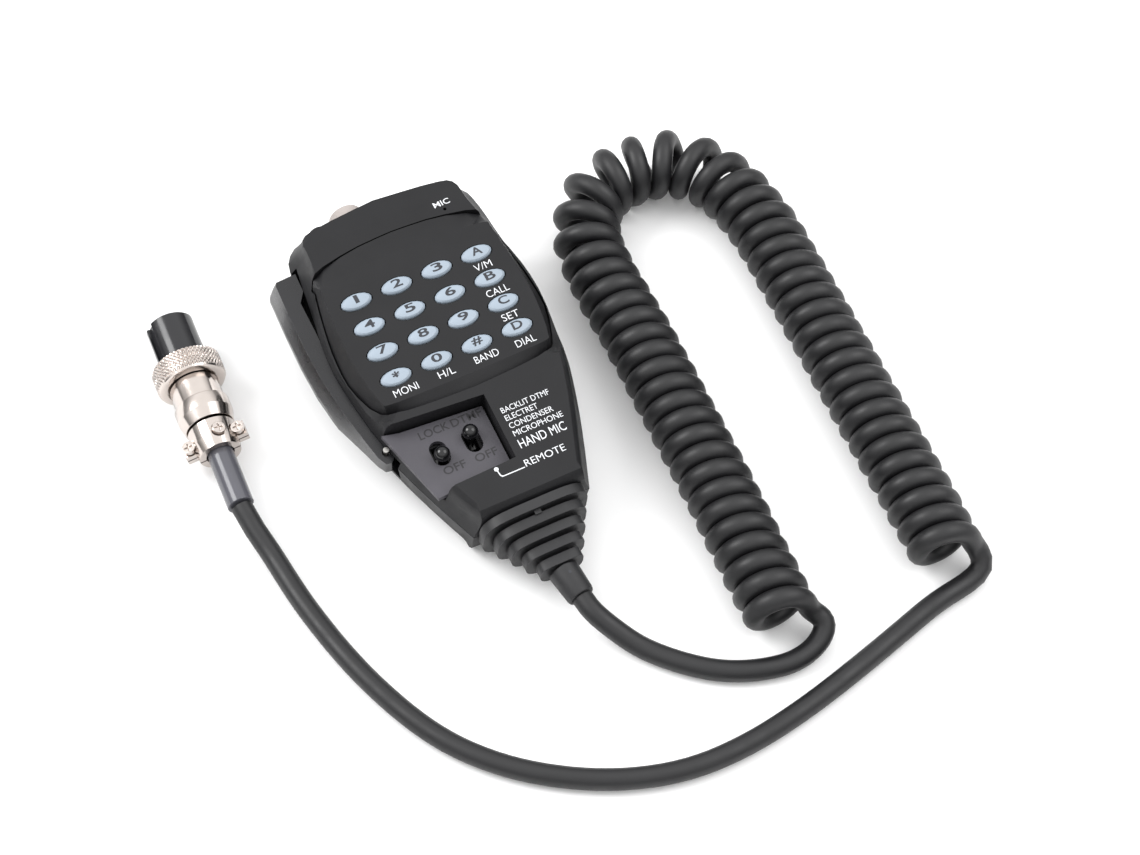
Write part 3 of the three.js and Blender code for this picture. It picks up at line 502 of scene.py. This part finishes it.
def surface_of(node):
    if node not in SURFACES:
        mesh = NODES[node].data
        SURFACES[node] = BVHTree.FromPolygons([v.co[:] for v in mesh.vertices],
                                              [p.vertices[:] for p in mesh.polygons])
    return SURFACES[node]


def lay_print(name, flat, node, material):
    """Lays a flat mesh, in case millimetres, on a node's surface and lets it ride with that node."""
    bm = bmesh.new()
    bm.from_mesh(flat)
    bpy.data.meshes.remove(flat)
    bmesh.ops.triangulate(bm, faces=bm.faces)
    xs = [v.co.x for v in bm.verts]
    ys = [v.co.y for v in bm.verts]
    for low, high, normal in ((min(xs), max(xs), Vector((1, 0, 0))), (min(ys), max(ys), Vector((0, 1, 0)))):
        for k in range(1, int((high - low) / PRINT_GRID) + 1):
            geometry = bm.verts[:] + bm.edges[:] + bm.faces[:]
            spot = (low + k * PRINT_GRID) * normal
            bmesh.ops.bisect_plane(bm, geom=geometry, plane_co=spot, plane_no=normal)
    tree = surface_of(node)
    for vert in bm.verts:
        start = CASE @ Vector((vert.co.x, vert.co.y, ABOVE_CASE))
        hit = tree.ray_cast(start, CASE_DOWN)[0]
        if hit is None:
            hit = CASE @ Vector((vert.co.x, vert.co.y, 0))
        vert.co = hit - CASE_DOWN * PRINT_LIFT * MM
    mesh = bpy.data.meshes.new(name)
    bm.to_mesh(mesh)
    bm.free()
    mesh.shade_smooth()
    return make_piece(name, mesh, BODY_OF[node], SLOT_OF[node], (), material)


def lettering(text, x, y, height, width, weight, left=False):
    """Flat letters of a height and width, centred on x, y or starting at x. weight thickens them."""
    curve = bpy.data.curves.new(text, "FONT")
    curve.body = text
    curve.offset = weight
    curve.resolution_u = 4
    holder = bpy.data.objects.new(text, curve)
    bpy.context.scene.collection.objects.link(holder)
    bpy.context.view_layer.update()
    depsgraph = bpy.context.evaluated_depsgraph_get()
    mesh = bpy.data.meshes.new_from_object(holder.evaluated_get(depsgraph))
    bpy.data.objects.remove(holder)
    bpy.data.curves.remove(curve)
    co = np.array([v.co[:] for v in mesh.vertices])
    low, high = co.min(axis=0), co.max(axis=0)
    tall = height / (high[1] - low[1])
    wide = width / (high[0] - low[0])
    co[:, 1] = (co[:, 1] - (low[1] + high[1]) / 2) * tall
    co[:, 0] = (co[:, 0] - (low[0] if left else (low[0] + high[0]) / 2)) * wide
    for vert, (along, across, _) in zip(mesh.vertices, co):
        vert.co = (x + along, y + across, 0)
    return mesh


def outline_mesh(name, loops):
    mesh = bpy.data.meshes.new(name)
    verts, faces = [], []
    for loop in loops:
        faces.append(tuple(range(len(verts), len(verts) + len(loop))))
        verts += [(x, y, 0) for x, y in loop]
    mesh.from_pydata(verts, [], faces)
    return mesh


def disc(x, y, radius):
    turns = [2 * math.pi * k / DISC_SIDES for k in range(DISC_SIDES)]
    return [(x + radius * math.cos(a), y + radius * math.sin(a)) for a in turns]


KEY_LABELS = {"1": "1", "2": "2", "3": "3", "a": "A", "4": "4", "5": "5", "6": "6", "b": "B", "7": "7",
              "8": "8", "9": "9", "c": "C", "star": "*", "0": "0", "hash": "#", "d": "D"}
KEY_PITCH_X = 11.6
KEY_PITCH_Y = 8.15
KEY_ROW1_Y = 71.6
LABEL_RIGHT = 0.1   # by which a label stands off its key's middle
LABEL_UP = 0.3
LABEL_HEIGHT = 2.5
LABEL_WIDTH = 2.9
ODD_LABEL_SIZES = {"*": (1.9, 2.1), "1": (LABEL_HEIGHT, 1.1)}
LABEL_WEIGHT = 0.02
for place, (key, label) in enumerate(KEY_LABELS.items()):
    label_x = (place % 4 - 1.5) * KEY_PITCH_X + LABEL_RIGHT
    label_y = KEY_ROW1_Y - (place // 4) * KEY_PITCH_Y + LABEL_UP
    tall, wide = ODD_LABEL_SIZES.get(label, (LABEL_HEIGHT, LABEL_WIDTH))
    letters = lettering(label, label_x, label_y, tall, wide, LABEL_WEIGHT)
    lay_print("print_" + key, letters, "key_" + key, "print_and_shade_black")

# Text, x and y of its middle, height, width, weight.
PLATE_LEGENDS = {"vfo_legend": ("V/M", 17.4, 67.6, 2.1, 4.9, -0.006),
                 "call_legend": ("CALL", 17.6, 59.2, 2.1, 6.4, -0.006),
                 "set_legend": ("SET", 17.4, 51.1, 2.1, 4.8, -0.006),
                 "dial_legend": ("DIAL", 17.7, 42.7, 2.1, 5.6, -0.006),
                 "monitor_legend": ("MONI", -16.6, 42.8, 2.1, 6.8, -0.006),
                 "power_legend": ("H/L", -5.0, 42.9, 2.1, 4.6, -0.006),
                 "band_legend": ("BAND", 6.5, 42.9, 2.1, 6.8, -0.006)}
for name, legend in PLATE_LEGENDS.items():
    lay_print(name, lettering(*legend), "keypad_plate", "print_white")

BLOCK_X = 2.9
# Text, y of its middle, height, width.
BLOCK_LINES = [("BACKLIT DTMF", 26.9, 1.65, 13.6), ("ELECTRET", 24.5, 1.65, 9.2),
               ("CONDENSER", 22.1, 1.65, 12.4), ("MICROPHONE", 19.7, 1.65, 14),
               ("HAND MIC", 16.4, 2.6, 13.2)]
for number, (text, y, tall, wide) in enumerate(BLOCK_LINES, 1):
    letters = lettering(text, BLOCK_X, y, tall, wide, 0, left=True)
    lay_print("block_" + str(number), letters, "front_shell", "print_white")
CASE_LABELS = {"mic_label": ("MIC", 16.1, 90.3, 1.8, 4.6, 0.006),
               "remote_label": ("REMOTE", 7.5, 10.9, 2, 11.4, -0.004)}
for name, legend in CASE_LABELS.items():
    lay_print(name, lettering(*legend), "front_shell", "print_white")

LEADER = 0.28       # width of the printed leader line
LEADER_DOT = (-5.5, 12.5, 0.6)
LEADER_Y = 10.14    # upper edge of its level stretch
LEADER_END_X = 1.4
dot_x, dot_y, _ = LEADER_DOT
lay_print("remote_leader", outline_mesh("remote_leader", [
    disc(*LEADER_DOT),
    [(dot_x - LEADER / 2, dot_y), (dot_x + LEADER / 2, dot_y), (-5.1, 10.6), (-4.7, 10.2),
     (LEADER_END_X, LEADER_Y), (LEADER_END_X, LEADER_Y - LEADER), (-4.9, 9.9), (-5.4, 10.4)],
]), "front_shell", "print_white")
# Painted shade: a flat black disc on the strain relief stands in for the shade inside its small hole.
NECK_HOLE_SHADE = (0.9, -17.7, 0.45)
lay_print("neck_hole_painted_shade", outline_mesh("neck_hole_painted_shade", [disc(*NECK_HOLE_SHADE)]), "cord_relief", "print_and_shade_black")
SWITCH_LABELS = {"lock_label": ("LOCK", -14.1, 31.3, 2.3, 8.4, 0.01),
                 "tone_label": ("DTMF", -4.9, 31.2, 2.3, 8.6, 0.01),
                 "lock_off": ("OFF", -13.7, 19.6, 2.3, 6.2, 0.01),
                 "tone_off": ("OFF", -4.8, 19.5, 2.3, 6.2, 0.01)}
for name, legend in SWITCH_LABELS.items():
    lay_print(name, lettering(*legend), "switch_plate", "mark_grey")

for node, obj in NODES.items():
    obj.data.materials.clear()
    obj.data.materials.append(MATERIALS[SLOT_OF[node]])


# ---- studio -----------------------------------------------------------------------------------------
def make_floor():
    mesh = bpy.data.meshes.new("floor")
    half = 3.0
    corners = [(-half, -half, 0), (half, -half, 0), (half, half, 0), (-half, half, 0)]
    mesh.from_pydata(corners, [], [(0, 1, 2, 3)])
    floor = bpy.data.objects.new("floor", mesh)
    bpy.context.scene.collection.objects.link(floor)
    m = Nodes("floor_paper")
    m.shader.inputs["Base Color"].default_value = (0.93, 0.93, 0.93, 1)
    m.shader.inputs["Roughness"].default_value = 0.9
    m.link(m.bump(m.noise(400, 2), 0.02, 0.0001), m.shader.inputs["Normal"])
    mesh.materials.append(m.material)


def area_light(name, location, target, size, power):
    data = bpy.data.lights.new(name, "AREA")
    data.shape = "DISK"
    data.size = size
    data.energy = power
    light = bpy.data.objects.new(name, data)
    bpy.context.scene.collection.objects.link(light)
    light.location = location
    direction = Vector(target) - Vector(location)
    light.rotation_euler = direction.to_track_quat("-Z", "Y").to_euler()


def make_world():
    """A white tent over the table, darker towards its lower walls, so that polished pieces show contrast."""
    world = bpy.data.worlds.new("studio")
    world.use_nodes = True
    tree = world.node_tree
    coords = tree.nodes.new("ShaderNodeTexCoord")
    split = tree.nodes.new("ShaderNodeSeparateXYZ")
    ramp = tree.nodes.new("ShaderNodeValToRGB")
    tree.links.new(coords.outputs["Generated"], split.inputs["Vector"])
    tree.links.new(split.outputs["Z"], ramp.inputs["Fac"])
    stops = ramp.color_ramp.elements
    stops[0].position = 0.05
    stops[0].color = (0.16, 0.16, 0.16, 1)
    stops[1].position = 0.62
    stops[1].color = (1, 1, 1, 1)
    middle = stops.new(0.3)
    middle.color = (0.36, 0.36, 0.36, 1)
    background = tree.nodes["Background"]
    tree.links.new(ramp.outputs["Color"], background.inputs["Color"])
    background.inputs["Strength"].default_value = 1.5
    bpy.context.scene.world = world


make_floor()
make_world()
area_light("key_light", (-0.7, 0.5, 0.9), (0, 0, 0), 0.7, 9)
area_light("fill_light", (0.8, -0.3, 1.1), (0.03, 0, 0), 1.0, 6)
bpy.context.scene.view_settings.view_transform = "Standard"
